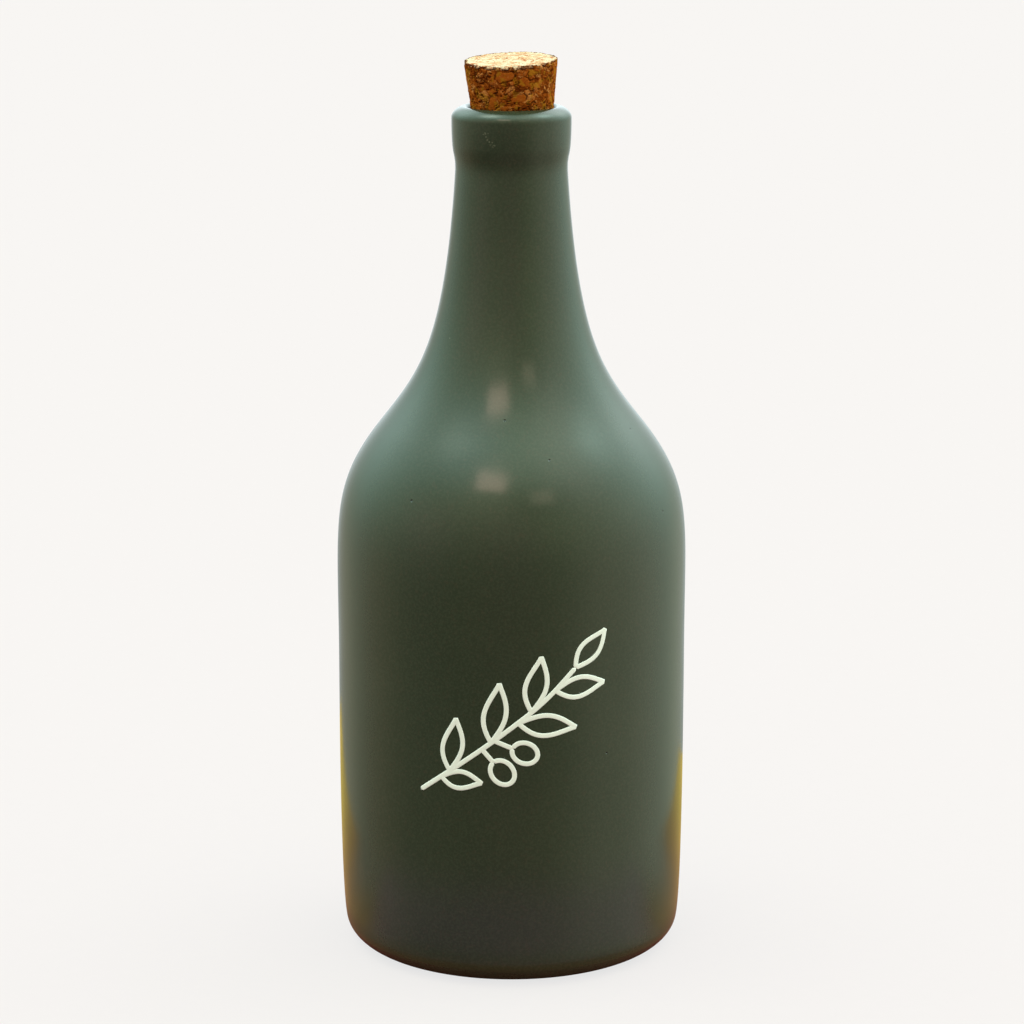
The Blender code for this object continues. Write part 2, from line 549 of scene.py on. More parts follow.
def cork_profile():
    """The cone's outline, from the middle of its bottom, up the side and in over the top, in mm."""
    under_to = CORK_BOTTOM_RADIUS - CORK_FOOT_ROUND
    under = level_rows(UNDER_FROM, under_to, UNDER_ROWS, CORK_PROUD - CORK_LENGTH)
    coarse = np.linspace(CORK_LENGTH - CORK_FOOT_ROUND, CORK_PROUD + COARSE_TO, COARSE_ROWS)
    fine = np.linspace(CORK_PROUD + FINE_FROM, CORK_RIM_ROUND, FINE_ROWS)
    depth = np.concatenate([coarse, fine])
    radius = CORK_TOP_RADIUS + (CORK_BOTTOM_RADIUS - CORK_TOP_RADIUS) * depth / CORK_LENGTH
    side = np.stack([radius, CORK_PROUD - depth], axis=-1)
    turn = np.linspace(0.0, math.pi / 2, RIM_ROWS + 2)[1:-1]
    rim = np.stack([CORK_TOP_RADIUS - CORK_RIM_ROUND * (1 - np.cos(turn)),
                    CORK_PROUD - CORK_RIM_ROUND * (1 - np.sin(turn))], axis=-1)
    top = level_rows(CORK_TOP_RADIUS - CORK_RIM_ROUND, TOP_TO, TOP_ROWS, CORK_PROUD)
    return np.concatenate([under, side, rim, top])


print("cork outline has", len(cork_profile()), "rows")

# %% [markdown]
# ## The cork's granules
#
# Each granule gets its own tone and its own level, and the glue lines between them are crevices. Their
# outlines come from cell patterns of three sizes, bent out of shape by noise, so that they look torn.
# The largest pieces and the holes are what the eye picks out, so those are listed one by one.

# %% Granules
BIG_GRANULE = 3.0 * MM
SMALL_GRANULE = 1.4 * MM
CRUMB = 0.62 * MM
WHOLE_SHARE = 0.30
SLAB_EDGE = 1.2 * MM
# How far outlines wander, and over what size: the large bends, the small ones and a slab's torn edge.
LARGE_BEND = (0.50 * MM, 1.5 * MM)
SMALL_BEND = (0.20 * MM, 0.5 * MM)
TORN_BEND = (0.30 * MM, 0.9 * MM)
# Large smooth granules, as (degrees round, mm below the top, half width, half height, tone).
SLABS = [(-9.0, 2.3, 2.1, 1.35, 0.62), (15.0, 3.7, 1.3, 1.1, 0.38), (10.5, 7.5, 1.8, 0.75, 0.58),
         (-2.0, 9.3, 2.9, 0.45, 0.66), (-27.0, 8.0, 1.2, 1.0, 0.55), (205.0, 4.0, 2.4, 1.5, 0.6),
         (120.0, 6.5, 1.9, 1.2, 0.5)]
# Holes where crumbs fell out, painted dark as the shade inside them, as (degrees round, mm below the
# top, radius).
HOLES = [(-51.0, 3.7, 0.42), (-50.0, 6.7, 0.50), (-43.0, 6.8, 0.40), (-50.0, 5.0, 0.34),
         (-32.0, 5.2, 0.42), (-29.5, 2.3, 0.40), (-27.0, 1.5, 0.34), (-20.0, 6.1, 0.36),
         (-6.4, 6.2, 0.32), (-8.0, 5.0, 0.26), (23.5, 3.5, 0.34), (29.7, 8.9, 0.42),
         (50.6, 9.3, 0.52), (-49.0, 1.6, 0.40), (-62.0, 0.7, 0.36), (38.0, 5.6, 0.28),
         (61.0, 2.2, 0.34), (-69.0, 8.3, 0.36), (84.0, 5.0, 0.50), (152.0, 3.0, 0.45),
         (171.0, 7.2, 0.50), (-158.0, 5.4, 0.42), (-120.0, 3.1, 0.50), (-101.0, 7.9, 0.40),
         (110.0, 8.8, 0.42)]


def nearest_mark(places, marks):
    """How far inside the nearest mark each place is, 1 at its middle and 0 at its edge, and which mark.

    A mark is an ellipse on the unrolled side: (degrees, depth, half width, half height).
    """
    turned = np.degrees(np.arctan2(places[:, 0], -places[:, 1]))
    depth = CORK_PROUD - places[:, 2] / MM
    reach = np.hypot(places[:, 0], places[:, 1]) / MM
    best = np.full(len(places), -np.inf)
    which = np.zeros(len(places), int)
    for k, (degrees, below, wide, tall) in enumerate(marks):
        across = (turned - degrees + 180) % 360 - 180
        inside = 1 - np.hypot(np.radians(across) * reach / wide, (depth - below) / tall)
        which = np.where(inside > best, k, which)
        best = np.maximum(inside, best)
    return best, which


def granules(places, on_side):
    """How deep the crevices and the pores are, and a tone for each granule, all from 0 to 1.

    Three sizes of cell share the surface: a big cell either stays whole or gives way to small ones, and
    between them the smallest make crumbs. A slower noise closes most of their outlines up.
    """
    bent = places + wobble(places, *LARGE_BEND, 40)
    bent += wobble(places, *SMALL_BEND, 50)
    big_gap, big = cell_pattern(bent, BIG_GRANULE, 11)
    small_gap, small = cell_pattern(bent * [1.0, 1.0, 1.2], SMALL_GRANULE, 23)
    crumb_gap, crumb = cell_pattern(bent, CRUMB, 31)
    ragged = bent + wobble(places, *TORN_BEND, 55)
    slab_in, slab = nearest_mark(ragged, [mark[:4] for mark in SLABS])
    in_slab = (slab_in > 0) & on_side
    whole = big < WHOLE_SHARE
    line = np.where(whole, big_gap, np.minimum(big_gap, small_gap))
    line = np.where(in_slab, slab_in * SLAB_EDGE, line)
    line = np.where(on_side & ~in_slab, np.minimum(line, -slab_in * SLAB_EDGE), line)
    crumbly = eased(smooth_noise(places, 2.1 * MM, 64), -0.25, 0.25) * ~in_slab
    tone = np.where(whole, big / WHOLE_SHARE, small) + 0.55 * crumbly * (crumb - 0.5)
    tone = np.where(in_slab, np.array([mark[4] for mark in SLABS])[slab], np.clip(tone, 0, 1))
    ajar = eased(smooth_noise(places, 1.2 * MM, 61), -0.45, 0.35)
    crevice = (1 - eased(line, 0.03 * MM, 0.27 * MM)) * ajar
    crevice = np.maximum(crevice, 0.6 * (1 - eased(crumb_gap, 0.0, 0.16 * MM)) * crumbly)
    crowded = eased(smooth_noise(places, 2.4 * MM, 62), -0.4, 0.2) * ~in_slab
    pore = eased(smooth_noise(places * [1, 1, 1.6], 0.50 * MM, 63), 0.30, 0.55) * crowded
    hole, _ = nearest_mark(bent, [(degrees, below, 1.25 * r, 0.95 * r) for degrees, below, r in HOLES])
    pore = np.maximum(pore, eased(hole, 0.0, 0.5) * on_side)
    return crevice, pore, tone

# %% [markdown]
# ## The cork's surface
#
# The cone's points are moved to make the relief: glue lines and pores sink, dark granules lie a little
# lower, and the top rim is ragged where the knife tore it. Below the lip the side is left smooth.

# %% Cork surface
CORK_ASIDE = 0.2
CORK_LEAN_LEFT = math.radians(2.1)
CORK_LEAN_FORWARD = math.radians(4.0)
# How far, in mm, a crevice, a pore, a torn rim and a dark granule sink: on the side, and on the top.
SIDE_SINKS = (0.24, 0.30, 1.0, 0.07)
TOP_SINKS = (0.08, 0.10, 0.8, 0.02)


def torn_rim(flat, top, crevice):
    """How far the rim is torn in, in mm, how much darker it is near the rim and at its notches, and how
    light its chips, both 0 to 1.

    Each is a patchy noise, and dies out with the distance from the rim.
    """
    reach = np.hypot(flat[:, 0], flat[:, 1]) / MM
    from_rim = CORK_PROUD - flat[:, 2] / MM + (CORK_TOP_RADIUS - reach) * top
    near = 1 - eased(from_rim, 0.10, 0.75)
    rough = smooth_noise(flat, 0.9 * MM, 71) + 0.6 * smooth_noise(flat, 0.35 * MM, 72)
    notch = eased(smooth_noise(flat, 0.95 * MM, 73), 0.12, 0.50) * (1 - eased(from_rim, 0.30, 1.35))
    torn = near * (0.04 + 0.42 * eased(rough, -0.1, 0.9) + 0.20 * crevice) + 0.60 * notch
    patchy = 0.30 + 0.70 * eased(smooth_noise(flat, 1.1 * MM, 75), -0.3, 0.3)
    chip = eased(smooth_noise(flat * [1, 1, 0.7], 0.65 * MM, 74), 0.20, 0.42)
    chip *= 0.8 * (1 - eased(from_rim, 0.35, 0.85)) * (1 - notch) * ~top
    return torn, np.clip(near * patchy + notch, 0, 1), chip


def lean_cork(points):
    """Turns the cork about X, then Y, and sets it in the mouth, as the working model does."""
    forward, left = CORK_LEAN_FORWARD, -CORK_LEAN_LEFT
    about_x = np.array([[1, 0, 0], [0, math.cos(forward), -math.sin(forward)],
                        [0, math.sin(forward), math.cos(forward)]])
    about_y = np.array([[math.cos(left), 0, math.sin(left)], [0, 1, 0],
                        [-math.sin(left), 0, math.cos(left)]])
    return points @ (about_y @ about_x).T + np.array([CORK_ASIDE, 0.0, CREST.height]) * MM


def build_cork(material):
    """The cone, its side drawn in and its top drawn down by the weighted sum of what sinks there."""
    grid = turned_grid(cork_profile(), CORK_COLUMNS)
    flat = grid.reshape(-1, 3)
    height = flat[:, 2] / MM
    top = height > CORK_PROUD - 0.01
    bottom = height < CORK_PROUD - CORK_LENGTH + 0.1
    crevice, pore, tone = granules(flat, ~top)
    torn, rim, chip = torn_rim(flat, top, crevice)
    sunk = np.stack([crevice, pore, torn, 1 - tone], axis=-1)
    side_in = sunk @ SIDE_SINKS - 0.04 * smooth_noise(flat, 0.5 * MM, 77)
    side_in = np.where(top | bottom, 0, side_in * eased(height, -1.2, -0.2))
    moved = flat - away_from_axis(flat) * side_in[:, None] * MM
    moved[:, 2] -= np.where(top, sunk @ TOP_SINKS, 0) * MM
    start = (0, 0, (CORK_PROUD - CORK_LENGTH) * MM)
    end = (0, 0, CORK_PROUD * MM)
    points, quads, fans = closed_piece(moved.reshape(grid.shape), start, end)
    obj = new_mesh_object("granule_cork", lean_cork(points), quads, fans, material)
    numbers = {"crevice": crevice, "pore": pore, "tone": tone, "pale": top, "chip": chip, "rim": rim}
    poles = {"pale": (0, 1), "tone": (0.5, 0.5)}
    for name, values in numbers.items():
        store(obj, name, np.concatenate([values, poles.get(name, (0, 0))]))
    return obj

# %% [markdown]
# ## The cork's colour
#
# The side of the stopper is toasted brown, each granule a little lighter or darker than its neighbours,
# and the glue lines and holes are nearly black: partly the dark glue, partly painted shade in the
# crevices. The top was sliced clean last, so it is pale. The material reads the numbers stored on the
# mesh, so colour and relief follow the same granules.

# %% Cork material
SIDE_DARK = (0.192, 0.036, 0.004, 1.0)
SIDE_MID = (0.370, 0.086, 0.010, 1.0)
SIDE_LIGHT = (0.62, 0.25, 0.075, 1.0)
SIDE_OCHRE = (0.385, 0.152, 0.011, 1.0)
# Crevices and holes are nearly black: partly the dark glue, partly painted shade in them.
CREVICE_GLUE_AND_SHADE = (0.040, 0.007, 0.002, 1.0)
RIM_DARK = (0.085, 0.016, 0.008, 1.0)
CHIP = (0.56, 0.27, 0.105, 1.0)
TOP_PALE = (0.63, 0.51, 0.37, 1.0)
TOP_TAN = (0.58, 0.35, 0.20, 1.0)
TOP_RED = (0.45, 0.14, 0.06, 1.0)
GRAIN_MM = 0.32
MOTTLE_MM = 0.9
OCHRE_PATCH_MM = 1.7
RED_PATCH_MM = 1.2
GRAIN_RELIEF = 0.14 * MM


def cork_material():
    """Side and top are each a stack of layers over one colour, and the stored number pale picks one."""
    net = Network("pressed cork")
    crevice, pore, tone, rim = (net.stored(name) for name in ("crevice", "pore", "tone", "rim"))
    fine = net.noise(GRAIN_MM, 3.0, 0.7)
    mottle = net.noise(MOTTLE_MM, 2.0, 0.6)
    mixed = net.math("ADD", net.times(tone, 0.55), net.times(mottle, 0.45))
    mixed = net.math("ADD", mixed, net.times(fine, 0.55))
    side = net.layers(
        SIDE_DARK,
        (net.ramp(mixed, 0.45, 0.80), SIDE_MID),
        (net.ramp(mixed, 0.86, 1.12), SIDE_LIGHT),
        (net.ramp(net.noise(OCHRE_PATCH_MM, 1.0), 0.54, 0.62, 0.0, 0.75), SIDE_OCHRE),
        (net.math("MAXIMUM", net.times(crevice, 0.74), net.times(pore, 0.80)), CREVICE_GLUE_AND_SHADE),
        (net.times(rim, 0.85), RIM_DARK),
        (net.stored("chip"), CHIP),
    )
    top = net.layers(
        TOP_PALE,
        (net.ramp(net.math("ADD", tone, mottle), 1.05, 1.35, 0.0, 0.8), TOP_TAN),
        (net.ramp(net.noise(RED_PATCH_MM, 2.0, 0.6), 0.54, 0.63, 0.0, 0.95), TOP_RED),
        # Crevices on the top: painted shade, in the top's red.
        (net.times(crevice, 0.55), TOP_RED),
        (net.times(rim, 0.60), SIDE_MID),
    )
    return net.finished({
        "Base Color": net.mix(net.stored("pale"), side, top),
        "Roughness": net.ramp(fine, 0.2, 0.8, 0.75, 0.95),
        "Specular IOR Level": 0.0,
        "Normal": net.bump(fine, GRAIN_RELIEF),
    })


cork = build_cork(cork_material())
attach(cork, "root")
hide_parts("cork")

# %% [markdown]
# ## The white line drawing
#
# A sprig of olive is drawn on the front in one width of white enamel, about 1.1 mm, as a brush or a
# liner bottle leaves it: round-ended and standing a few hundredths proud. It could be a flat pattern in
# the glaze's material, but real enamel has an edge that catches the light, so each stroke is a low,
# flattened tube. Its path is drawn flat, as millimetres along the wall and up it, and then wrapped.

# %% Strokes
STROKE_WIDTH = 1.12
STROKE_HEIGHT = 0.07
STROKE_SIDES = 14
# How nearly a stroke closes at its tips, as a share of its half width, and how square its section is.
STROKE_TIP = 0.02
STROKE_SQUARENESS = 0.4
SPRIG_MIDDLE = (0.3, 64.3)
STEPS_PER_KNOT = 24


def curve_through(points, count):
    """A smooth path through given points: the Catmull-Rom formula, evenly stepped."""
    knots = np.array(points, float)
    padded = np.concatenate([[2 * knots[0] - knots[1]], knots, [2 * knots[-1] - knots[-2]]])
    t = np.linspace(0, 1, STEPS_PER_KNOT, endpoint=False)[:, None]
    parts = []
    for a, b, c, d in zip(padded, padded[1:], padded[2:], padded[3:]):
        parts.append(0.5 * (2 * b + (c - a) * t + (2 * a - 5 * b + 4 * c - d) * t ** 2
                            + (3 * b - a - 3 * c + d) * t ** 3))
    return evenly(np.concatenate(parts + [knots[-1:]]), count)


def stroke(path):
    """A flattened tube along a flat path, wrapped on the wall, each end closing as a half circle."""
    step = np.linalg.norm(np.diff(path, axis=0), axis=1)
    length = np.concatenate([[0.0], np.cumsum(step)])
    along = np.gradient(path, axis=0)
    along /= np.linalg.norm(along, axis=1, keepdims=True)
    across = np.stack([-along[:, 1], along[:, 0]], axis=-1)
    half = STROKE_WIDTH / 2
    from_end = np.minimum(length, length[-1] - length)
    swell = np.sqrt(1 - (1 - np.clip(from_end / half, STROKE_TIP, 1)) ** 2)
    turn = np.linspace(0, math.tau, STROKE_SIDES, endpoint=False)
    sideways = (half * swell)[:, None] * np.cos(turn)
    squarish = np.sign(np.sin(turn)) * np.abs(np.sin(turn)) ** STROKE_SQUARENESS
    lift = (STROKE_HEIGHT * np.sqrt(swell))[:, None] * squarish
    flat = path[:, None] + across[:, None] * sideways[..., None]
    return wrap(flat, lift), wrap(path[0], 0.0), wrap(path[-1], 0.0)


def wrap(flat, lift):
    """Flat millimetres (along the wall, up it) and a lift off it, carried onto the bottle."""
    height = flat[..., 1] + SPRIG_MIDDLE[1]
    angle = (flat[..., 0] + SPRIG_MIDDLE[0]) / WIDEST.radius
    radius = wall_radius(height) + lift
    return np.stack([radius * np.sin(angle), -radius * np.cos(angle), height], axis=-1) * MM

# %% Sprig
STEM = [(-22.0, -18.0), (-13.0, -11.5), (-3.0, -4.0), (7.0, 4.0), (14.5, 11.5)]
# Leaves: how far up the stem each starts (0 to 1), its side (1 is above), length, width and the angle
# that it opens from the stem, in degrees. The last one ends the stem.
LEAVES = [(0.20, 1, 12.5, 4.7, 52), (0.45, 1, 14.0, 5.0, 50), (0.70, 1, 13.0, 4.8, 46),
          (0.14, -1, 9.6, 4.0, 46), (0.62, -1, 13.5, 4.8, 50), (0.86, -1, 12.0, 4.5, 46),
          (1.00, 1, 11.0, 4.4, 8)]
# Olives: where each stalk leaves the stem, its side, its length and angle, and the fruit's two sizes.
OLIVES = [(0.40, -1, 4.0, 86, 6.2, 5.0), (0.47, -1, 4.6, 60, 6.0, 4.8)]
STEM_POINTS = 110
ARC_POINTS = 40
LEAF_POINTS = 90
STALK_POINTS = 16
OLIVE_POINTS = 60
LEAF_BEND = 0.09


def headings(direction):
    """The unit vector along a direction, and the one a quarter turn to its left."""
    forward = np.array([math.cos(direction), math.sin(direction)])
    return forward, np.array([-forward[1], forward[0]])


def leaf_outline(base, direction, length, width, side):
    """Two sine arcs from base to tip, fullest past the middle, on a spine that bends back."""
    t = np.linspace(0, 1, ARC_POINTS)[:, None]
    forward, left = headings(direction)
    out = left * side
    spine = base + forward * length * t - LEAF_BEND * length * np.sin(math.pi * t / 2) ** 2 * out
    bulge = np.sin(math.pi * t ** 0.9) ** 1.15 * width / 2 * out
    return np.concatenate([spine + bulge, (spine - bulge)[::-1][1:]])


def oval(centre, direction, long, short):
    """A closed ellipse with its long axis along direction, started and ended at its near end."""
    turn = np.linspace(0, math.tau, OLIVE_POINTS)[:, None] + math.pi
    forward, left = headings(direction)
    return centre + forward * long / 2 * np.cos(turn) + left * short / 2 * np.sin(turn)


def sprig_paths():
    """The stem, the leaves, and each olive with its stalk, as flat paths in millimetres."""
    stem = curve_through(STEM, STEM_POINTS)
    slope = np.gradient(stem, axis=0)

    def branch(where, side, open_degrees):
        """A point of the stem, and the direction of what opens there to one side of it."""
        k = int(where * (len(stem) - 1))
        return stem[k], math.atan2(slope[k, 1], slope[k, 0]) + side * math.radians(open_degrees)

    paths = [stem]
    for where, side, length, width, open_degrees in LEAVES:
        base, direction = branch(where, side, open_degrees)
        paths.append(evenly(leaf_outline(base, direction, length, width, side), LEAF_POINTS))
    for where, side, stalk, open_degrees, long, short in OLIVES:
        base, direction = branch(where, side, open_degrees)
        forward, _ = headings(direction)
        paths.append(evenly(np.array([base, base + forward * stalk]), STALK_POINTS))
        centre = base + forward * (stalk + long / 2)
        paths.append(evenly(oval(centre, direction, long, short), OLIVE_POINTS))
    return paths


def build_sprig(material):
    """Every stroke as a closed tube with its faces turned outwards, gathered into one mesh."""
    points, quads, fans, count = [], [], [], 0
    for path in sprig_paths():
        p, q, f = closed_piece(*stroke(path))
        if inside_out(p - p.mean(axis=0), q, f):
            q, f = q[:, ::-1], f[:, ::-1]
        points.append(p)
        quads.append(q + count)
        fans.append(f + count)
        count += len(p)
    gathered = [np.concatenate(part) for part in (points, quads, fans)]
    return new_mesh_object("olive_sprig", *gathered, material)

# %% Enamel
ENAMEL_THIN = (0.94, 0.94, 0.94, 1.0)
ENAMEL_THICK = (0.98, 0.98, 0.98, 1.0)
ENAMEL_CLOUD_MM = 1.6
ENAMEL_GRAIN_MM = 0.35
ENAMEL_RELIEF = 0.01 * MM


def enamel_material():
    """White, a little thinner or thicker in clouds, and as rough as a matt enamel."""
    net = Network("white enamel")
    clouds = net.ramp(net.noise(ENAMEL_CLOUD_MM, 3.0, 0.6), 0.3, 0.7)
    return net.finished({
        "Base Color": net.mix(clouds, ENAMEL_THIN, ENAMEL_THICK),
        "Roughness": net.ramp(clouds, 0.0, 1.0, 0.38, 0.46),
        "Normal": net.bump(net.noise(ENAMEL_GRAIN_MM), ENAMEL_RELIEF),
    })


sprig = build_sprig(enamel_material())
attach(sprig, "root")

# %% [markdown]
# ## The floor, a board and a disc of painted shade
#
# The bottle stands on plain pale paper, which is only a backdrop for the camera. A glaze mirrors what
# is near it, and on a kitchen bench that is warm wood, so a wooden board takes the paper's place in the
# reflections and turns the lower edges of the body amber. The board is painted golder towards the back,
# as painted light where a window lights it, and dim mauve at its sides and front and darker by the
# foot, as painted shade where the bottle shades it. Towards the front it also thins out, so that it has
# no edge to show as a line in the glaze. Wood shines most at a low angle, so its colour comes in only
# there, and seen from above the glaze stays green. A maroon disc under the foot is painted contact
# shade, and in the glaze it gives the dark maroon line at the very bottom. The camera sees neither the
# board nor the disc.

# %% Flat pieces
def flat_sheet(name, corners, drop, material):
    """One flat piece facing up, a little under the foot, from its corners in order, as (x, y)."""
    mesh = bpy.data.meshes.new(name)
    mesh.from_pydata([(x, y, -drop) for x, y in corners], [], [range(len(corners))])
    mesh.materials.append(material)
    sheet = bpy.data.objects.new(name, mesh)
    bpy.context.scene.collection.objects.link(sheet)
    print(name, "lies", round(drop / MM, 2), "mm under the foot")
    return sheet

# %% Paper and painted contact shade
PAPER_DARK = (0.092, 0.064, 0.062, 1.0)
PAPER_LIGHT = (0.100, 0.070, 0.068, 1.0)
PAPER_GLOW = 0.76
# The disc's maroon is painted contact shade under the foot, seen only in reflections in the glaze.
CONTACT_SHADE_DARK = (0.18, 0.018, 0.014, 1.0)
CONTACT_SHADE_LIGHT = (0.24, 0.026, 0.020, 1.0)
PAPER_FIBRE_MM = 4.0
CONTACT_SHADE_NOISE_MM = 1.5


def paper_material():
    """Matt fibres that glow a little, so that the paper stays pale to its far edges."""
    net = Network("pale paper")
    return net.finished({
        "Base Color": net.mix(net.noise(PAPER_FIBRE_MM, 3.0), PAPER_DARK, PAPER_LIGHT),
        "Roughness": 1.0,
        "Specular IOR Level": 0.0,
        "Emission Color": WHITE,
        "Emission Strength": PAPER_GLOW,
    })


def contact_shade_material():
    """Painted contact shade: matt maroon, lighter and darker in a fine noise."""
    net = Network("painted contact shade")
    return net.finished({
        "Base Color": net.mix(net.noise(CONTACT_SHADE_NOISE_MM, 3.0), CONTACT_SHADE_DARK, CONTACT_SHADE_LIGHT),
        "Roughness": 1.0,
    })

# %% Board
BOARD = [(-0.110, -0.130), (0.116, -0.130), (0.116, 0.134), (-0.110, 0.200)]
BOARD_DARK = (0.31, 0.105, 0.024, 1.0)
BOARD_LIGHT = (0.41, 0.150, 0.036, 1.0)
# Painted light and shade: golder towards the back where the window lights the board, dim mauve at its
# sides and front and darker by the foot where the bottle shades it.
BOARD_LIT_GOLD = (0.49, 0.27, 0.024, 1.0)
BOARD_BESIDE_SHADE = (0.20, 0.10, 0.12, 1.0)
BOARD_FRONT_SHADE = (0.34, 0.050, 0.32, 1.0)
BOARD_FOOT_SHADE = (0.26, 0.055, 0.018, 1.0)
# Where each change of the board starts and ends, in metres from the bottle's axis.
LIT_GOLD_BACK = (0.02, 0.11)
BESIDE_SHADE_OUT = (0.045, 0.100)
BESIDE_SHADE_BACK = (0.005, 0.045)
FRONT_SHADE_OUT = (-0.004, -0.036)
FOOT_SHADE_OUT = (0.041, 0.056)
FADE_OUT = (0.075, 0.125)
CLOSE_OUT = (0.043, 0.052)
# How edge-on the board has to be seen for its colour to come in, from 0 (from above) to 1 (along it).
LOW_ANGLE = (0.40, 0.58)
GRAIN_STRETCH = (0.15, 1.0, 1.0)
BOARD_GRAIN_MM = 12.0


def board_material():
    """Grain in two browns, under painted light golder at the back and painted shade at the sides, front
    and foot, and how much of it shows, as its alpha.
    """
    net = Network("wooden board")
    along = net.add("ShaderNodeMapping", {"Vector": net.place, "Scale": GRAIN_STRETCH}).outputs[0]
    place = net.add("ShaderNodeSeparateXYZ", {0: net.place})
    across, back = place.outputs["X"], place.outputs["Y"]
    reach = net.add("ShaderNodeVectorMath", {0: net.place}, operation="LENGTH").outputs["Value"]
    # beside and before carry the painted shade at the board's sides and front.
    beside = net.times(net.ramp(net.times(across, across), BESIDE_SHADE_OUT[0] ** 2, BESIDE_SHADE_OUT[1] ** 2),
                       net.ramp(back, *BESIDE_SHADE_BACK, 1.0, 0.0))
    before = net.ramp(back, *FRONT_SHADE_OUT)
    wood = net.layers(
        BOARD_DARK,
        (net.noise(BOARD_GRAIN_MM, 4.0, 0.6, along), BOARD_LIGHT),
        (net.ramp(back, *LIT_GOLD_BACK, 0.0, 0.9), BOARD_LIT_GOLD),
        (beside, BOARD_BESIDE_SHADE),
        (before, BOARD_FRONT_SHADE),
        (net.ramp(reach, *FOOT_SHADE_OUT, 1.0, 0.0), BOARD_FOOT_SHADE),
    )
    # Where the board is painted in shade it also thins out, most far from the foot.
    fading = net.times(net.math("MAXIMUM", beside, before), net.ramp(reach, *FADE_OUT, 0.60, 1.0))
    level = net.add("ShaderNodeLayerWeight", {"Blend": 0.5}).outputs["Facing"]
    kept = net.times(net.math("SUBTRACT", 1.0, fading), net.ramp(level, *LOW_ANGLE))
    return net.finished({
        "Base Color": wood,
        "Roughness": 0.8,
        "Alpha": net.math("MAXIMUM", kept, net.ramp(reach, *CLOSE_OUT, 1.0, 0.0)),
    })

# %% Floor
FLOOR = [(-6.0, -6.0), (6.0, -6.0), (6.0, 6.0), (-6.0, 6.0)]
FLOOR_DROP = 0.20 * MM
BOARD_DROP = 0.10 * MM
# The disc of painted contact shade lies just under the foot.
SHADE_DISC_DROP = 0.05 * MM
SHADE_DISC_RADIUS = 39.5 * MM
SHADE_DISC_SIDES = 96

turn = np.linspace(0.0, math.tau, SHADE_DISC_SIDES, endpoint=False)
circle = SHADE_DISC_RADIUS * np.stack([np.cos(turn), np.sin(turn)], axis=-1)
floor = flat_sheet("floor", FLOOR, FLOOR_DROP, paper_material())
board = flat_sheet("board", BOARD, BOARD_DROP, board_material())
shade_disc = flat_sheet("shade_disc", circle, SHADE_DISC_DROP, contact_shade_material())
for sheet in (floor, board, shade_disc):
    sheet.visible_camera = sheet is floor
    sheet.visible_glossy = sheet is not floor
    sheet.visible_diffuse = False
    sheet.visible_shadow = False

# %% [markdown]
# ## The room's light
#
# Most of the light comes from windows high at the sides and behind the bottle. It grazes the shoulder
# and wraps round both sides, and leaves the front of the body in soft shade, which is what makes a dark
# glaze look deep. A satin glaze mirrors its room as a blur, so the room needs no walls: it is written
# as 28 glows in rings, from near the ceiling down to the table. Each is a bell-shaped function of
# direction: its heading from the front, its angle up, how narrow it is, and its colour. The two narrow
# ones are skylights, and they draw the bright line on the lip. Two soft lamps above the viewer, each
# with its own warm colour, give the dull patches on the shoulder.

# %% Room
BACKDROP = 0.95
# Each glow: its name, heading and angle up in degrees, how narrow it is, and its colour.
GLOWS = [
    ("front ceiling", 0, 66, 12, (0.49, 0.77, 0.51)),
    ("left ceiling", 300, 66, 12, (1.04, 1.62, 1.61)),
    ("right ceiling", 60, 66, 12, (1.78, 2.16, 1.77)),
    ("left skylight", 269, 67, 45, (5.18, 6.23, 5.13)),
    ("right skylight", 105, 55, 45, (3.30, 4.84, 4.39)),
    ("right wall top, front", 60, 40, 12, (0.67, 0.70, 0.61)),
    ("right wall top", 100, 40, 12, (0.84, 1.24, 1.12)),
    ("window right", 140, 40, 12, (2.94, 3.50, 3.39)),
    ("window left", 220, 40, 12, (1.96, 2.68, 2.57)),
    ("left wall top", 260, 40, 12, (0.76, 1.13, 0.99)),
    ("left wall top, front", 300, 40, 12, (0.28, 0.41, 0.26)),
    ("front wall top", 340, 40, 12, (0.68, 0.69, 0.46)),
    ("front wall", 0, 12, 12, (0.32, 0.24, 0.21)),
    ("front wall right", 30, 12, 12, (0.42, 0.48, 0.29)),
    ("right wall front", 60, 12, 12, (0.49, 0.56, 0.40)),
    ("right wall", 90, 12, 12, (0.84, 1.01, 0.83)),
    ("right wall back", 120, 12, 12, (0.72, 1.11, 1.00)),
    ("wall behind", 180, 12, 12, (1.87, 2.15, 2.26)),
    ("left wall back", 240, 12, 12, (0.49, 0.77, 0.66)),
    ("left wall", 270, 12, 12, (0.44, 0.61, 0.44)),
    ("left wall front", 300, 12, 12, (0.64, 0.55, 0.45)),
    ("front wall left", 330, 12, 12, (0.26, 0.29, 0.19)),
    ("right table front", 60, -18, 12, (0.49, 0.46, 0.35)),
    ("right table", 100, -18, 12, (0.57, 0.50, 0.38)),
    ("right table back", 140, -18, 12, (0.54, 0.55, 0.41)),
    ("left table back", 220, -18, 12, (0.45, 0.40, 0.28)),
    ("left table", 260, -18, 12, (0.34, 0.19, 0.12)),
    ("table in front", 0, -60, 4, (0.40, 0.24, 0.25)),
]


def heading_vector(heading, height):
    """The unit vector at a heading, from the front towards the right, and an angle up, in degrees."""
    heading, height = math.radians(heading), math.radians(height)
    level = math.cos(height)
    return (math.sin(heading) * level, -math.cos(heading) * level, math.sin(height))


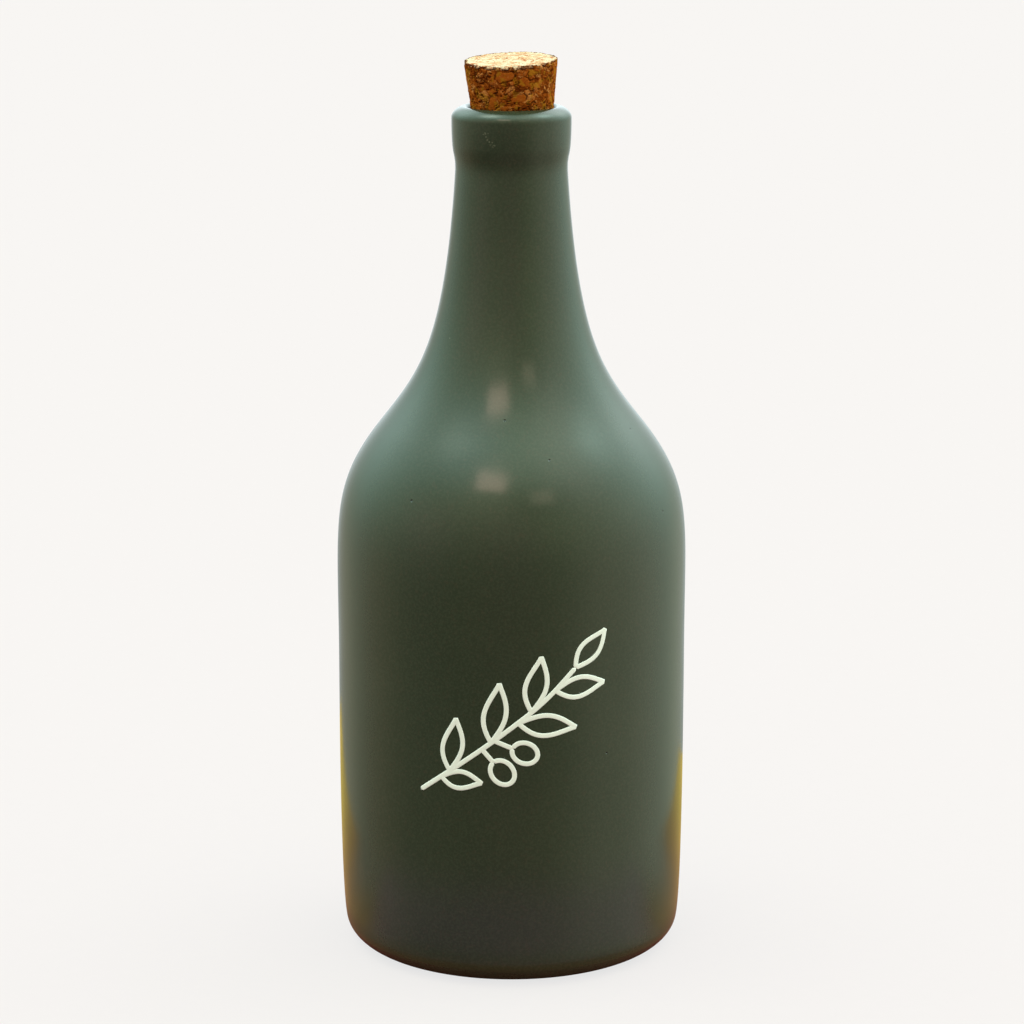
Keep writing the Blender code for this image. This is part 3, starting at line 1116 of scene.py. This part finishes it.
def light_room(tree):
    """Sums the glows: colour * exp(narrowness * (cosine of the angle to the glow's middle - 1))."""
    tree.nodes.clear()
    way = add_node(tree, "ShaderNodeTexCoord").outputs["Generated"]
    total = (0.0, 0.0, 0.0)
    for name, heading, height, narrow, colour in GLOWS:
        cosine = add_node(tree, "ShaderNodeVectorMath", {0: way, 1: heading_vector(heading, height)},
                          operation="DOT_PRODUCT").outputs["Value"]
        power = add_node(tree, "ShaderNodeMath", {0: cosine, 1: narrow, 2: -narrow},
                         operation="MULTIPLY_ADD").outputs[0]
        bell = add_node(tree, "ShaderNodeMath", {0: power}, operation="EXPONENT").outputs[0]
        glow = add_node(tree, "ShaderNodeVectorMath", {0: colour, "Scale": bell},
                        operation="SCALE").outputs[0]
        total = add_node(tree, "ShaderNodeVectorMath", {0: glow, 1: total},
                         operation="ADD", label=name).outputs[0]
    room = add_node(tree, "ShaderNodeBackground", {"Color": total, "Strength": 1.0}).outputs[0]
    pale = add_node(tree, "ShaderNodeBackground", {"Color": WHITE, "Strength": BACKDROP}).outputs[0]
    seen = add_node(tree, "ShaderNodeLightPath").outputs["Is Camera Ray"]
    mixed = add_node(tree, "ShaderNodeMixShader", {0: seen, 1: room, 2: pale}).outputs[0]
    add_node(tree, "ShaderNodeOutputWorld", {"Surface": mixed})


world = bpy.data.worlds.new("room")
bpy.context.scene.world = world
world.use_nodes = True
light_room(world.node_tree)
print("room has", len(GLOWS), "glows")

# %% Lamps
# Each lamp: heading and angle up, width and height in metres, power in watts, and colour.
LAMPS = [("lamp_left", -19.0, 50.0, 0.52, 0.36, 2.06, (1.0, 0.68, 0.54)),
         ("lamp_right", 24.5, 37.6, 0.40, 0.30, 0.45, (1.0, 0.81, 0.58))]
LAMP_DISTANCE = 1.6
SHOULDER_FRONT = (0.0, -0.03, 0.125)


def add_lamp(name, heading, height, width, tall, power, colour):
    """A soft box at a heading and an angle up, aimed at the front of the shoulder."""
    data = bpy.data.lights.new(name, "AREA")
    data.shape = "RECTANGLE"
    data.size = width
    data.size_y = tall
    data.energy = power
    data.color = colour
    lamp = bpy.data.objects.new(name, data)
    lamp.location = np.array(SHOULDER_FRONT) + LAMP_DISTANCE * np.array(heading_vector(heading, height))
    lamp.rotation_euler = (math.pi / 2 - math.radians(height), 0.0, math.radians(heading))
    bpy.context.scene.collection.objects.link(lamp)
    print(name, "is", round(lamp.location.z, 2), "m up")


for lamp in LAMPS:
    add_lamp(*lamp)
bpy.context.scene.view_settings.view_transform = "Standard"
